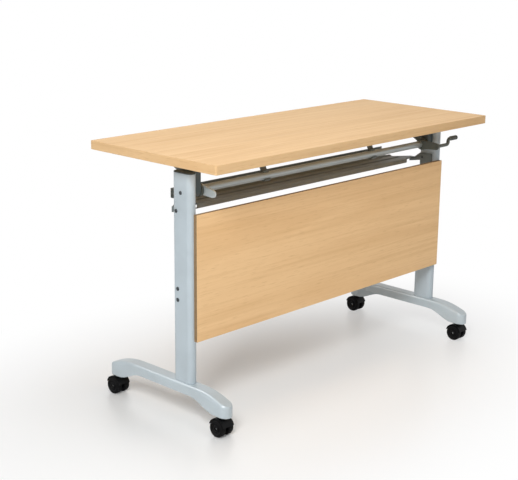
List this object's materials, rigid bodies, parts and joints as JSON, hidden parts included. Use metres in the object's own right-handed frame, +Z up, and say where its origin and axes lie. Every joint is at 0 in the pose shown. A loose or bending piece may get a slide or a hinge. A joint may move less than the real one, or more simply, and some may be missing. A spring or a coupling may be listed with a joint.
{
  "type": "flip-top training desk",
  "caption": "Narrow desk on casters whose top tips up for nesting: T-leg frame with modesty panel, book shelf, cross bar and cranked release handle at one end.",
  "frame": {"origin": "on the floor, under the middle of the table top", "axes": "+Z up, +X along the desk to the handle end, +Y to the sitter, -Y to the modesty panel's side"},
  "size_m": [1.2, 0.5, 0.75],
  "materials": {
    "beech_laminate": "satin beech laminate on board",
    "beech_edge_band": "satin edge band",
    "pale_grey_paint": "fine powder coat",
    "pale_grey_casting": "powder-coated casting",
    "dark_grey_paint": "matt powder coat",
    "dark_plastic": "moulded, matt",
    "graphite_sheet": "matt powder coat",
    "zinc_steel": "zinc plated",
    "satin_bar": "satin",
    "black_nylon": "moulded, fine grain",
    "black_tyre": "soft tread",
    "grey_grip": "matt"
  },
  "bodies": {
    "frame": {"foot_left": "pale_grey_casting", "foot_right": "pale_grey_casting", "foot_bolt_left": "zinc_steel", "foot_bolt_right": "zinc_steel", "column_left": "pale_grey_paint", "column_right": "pale_grey_paint", "column_plug_left": "zinc_steel", "column_plug_right": "zinc_steel", "column_cap_left": "dark_plastic", "column_cap_right": "dark_plastic", "head_block_left": "dark_plastic", "head_block_right": "dark_plastic", "bar_bush_left": "black_nylon", "bar_bush_right": "black_nylon", "modesty_panel": "beech_laminate", "panel_bracket_left": "pale_grey_paint", "panel_bracket_right": "pale_grey_paint", "book_shelf": "graphite_sheet", "shelf_arm_left": "graphite_sheet", "shelf_arm_right": "graphite_sheet", "shelf_bolt_left": "zinc_steel", "shelf_bolt_right": "zinc_steel", "caster_stem_front_left": "zinc_steel", "caster_stem_rear_left": "zinc_steel", "caster_stem_front_right": "zinc_steel", "caster_stem_rear_right": "zinc_steel"},
    "top": {"table_top": "beech_laminate", "top_edge_band": "beech_edge_band", "flip_bracket_left": "dark_grey_paint", "flip_bracket_right": "dark_grey_paint", "flip_bush_left": "black_nylon", "flip_bush_right": "black_nylon", "hanger_left": "dark_grey_paint", "hanger_right": "dark_grey_paint"},
    "release": {"cross_bar": "satin_bar", "release_lever_left": "satin_bar", "release_lever_right": "dark_grey_paint", "handle_rod": "dark_grey_paint", "handle_grip": "grey_grip"},
    "lock_left": {"lock_pin_left": "zinc_steel", "lock_spring_left": "zinc_steel"},
    "lock_right": {"lock_pin_right": "zinc_steel", "lock_spring_right": "zinc_steel"},
    "caster_front_left": {"caster_hood_front_left": "black_nylon", "caster_axle_front_left": "zinc_steel"},
    "wheel_a_front_left": {"wheel_a_front_left": "black_tyre"},
    "wheel_b_front_left": {"wheel_b_front_left": "black_tyre"},
    "caster_rear_left": {"caster_hood_rear_left": "black_nylon", "caster_axle_rear_left": "zinc_steel"},
    "wheel_a_rear_left": {"wheel_a_rear_left": "black_tyre"},
    "wheel_b_rear_left": {"wheel_b_rear_left": "black_tyre"},
    "caster_front_right": {"caster_hood_front_right": "black_nylon", "caster_axle_front_right": "zinc_steel"},
    "wheel_a_front_right": {"wheel_a_front_right": "black_tyre"},
    "wheel_b_front_right": {"wheel_b_front_right": "black_tyre"},
    "caster_rear_right": {"caster_hood_rear_right": "black_nylon", "caster_axle_rear_right": "zinc_steel"},
    "wheel_a_rear_right": {"wheel_a_rear_right": "black_tyre"},
    "wheel_b_rear_right": {"wheel_b_rear_right": "black_tyre"}
  },
  "joints": [
    {"name": "top_flip", "type": "hinge", "parent": "frame", "child": "top", "pos_m": [0, -0.077, 0.648], "axis": [1, 0, 0], "range_deg": [0, 90]},
    {"name": "handle_release", "type": "hinge", "parent": "frame", "child": "release", "pos_m": [0, -0.077, 0.648], "axis": [1, 0, 0], "range_deg": [0, 25], "stiffness_Nm_per_rad": 1, "springref_deg": -34.38},
    {"name": "lock_slide_left", "type": "slide", "parent": "frame", "child": "lock_left", "axis": [-1, 0, 0], "range_m": [0, 0.005]},
    {"name": "lock_slide_right", "type": "slide", "parent": "frame", "child": "lock_right", "axis": [1, 0, 0], "range_m": [0, 0.005]},
    {"name": "swivel_front_left", "type": "hinge", "parent": "frame", "child": "caster_front_left", "pos_m": [-0.548, -0.2255, 0], "axis": [0, 0, 1], "continuous": true},
    {"name": "roll_a_front_left", "type": "hinge", "parent": "caster_front_left", "child": "wheel_a_front_left", "pos_m": [-0.548, -0.2175, 0.025], "axis": [1, 0, 0], "continuous": true},
    {"name": "roll_b_front_left", "type": "hinge", "parent": "caster_front_left", "child": "wheel_b_front_left", "pos_m": [-0.548, -0.2175, 0.025], "axis": [1, 0, 0], "continuous": true},
    {"name": "swivel_rear_left", "type": "hinge", "parent": "frame", "child": "caster_rear_left", "pos_m": [-0.548, 0.2075, 0], "axis": [0, 0, 1], "continuous": true},
    {"name": "roll_a_rear_left", "type": "hinge", "parent": "caster_rear_left", "child": "wheel_a_rear_left", "pos_m": [-0.548, 0.2155, 0.025], "axis": [1, 0, 0], "continuous": true},
    {"name": "roll_b_rear_left", "type": "hinge", "parent": "caster_rear_left", "child": "wheel_b_rear_left", "pos_m": [-0.548, 0.2155, 0.025], "axis": [1, 0, 0], "continuous": true},
    {"name": "swivel_front_right", "type": "hinge", "parent": "frame", "child": "caster_front_right", "pos_m": [0.548, -0.2255, 0], "axis": [0, 0, 1], "continuous": true},
    {"name": "roll_a_front_right", "type": "hinge", "parent": "caster_front_right", "child": "wheel_a_front_right", "pos_m": [0.548, -0.2175, 0.025], "axis": [1, 0, 0], "continuous": true},
    {"name": "roll_b_front_right", "type": "hinge", "parent": "caster_front_right", "child": "wheel_b_front_right", "pos_m": [0.548, -0.2175, 0.025], "axis": [1, 0, 0], "continuous": true},
    {"name": "swivel_rear_right", "type": "hinge", "parent": "frame", "child": "caster_rear_right", "pos_m": [0.548, 0.2075, 0], "axis": [0, 0, 1], "continuous": true},
    {"name": "roll_a_rear_right", "type": "hinge", "parent": "caster_rear_right", "child": "wheel_a_rear_right", "pos_m": [0.548, 0.2155, 0.025], "axis": [1, 0, 0], "continuous": true},
    {"name": "roll_b_rear_right", "type": "hinge", "parent": "caster_rear_right", "child": "wheel_b_rear_right", "pos_m": [0.548, 0.2155, 0.025], "axis": [1, 0, 0], "continuous": true}
  ],
  "couplings": [
    {"joint": "lock_slide_left", "follows": "handle_release", "m_per_rad": 0.01145},
    {"joint": "lock_slide_right", "follows": "handle_release", "m_per_rad": 0.01145}
  ]
}
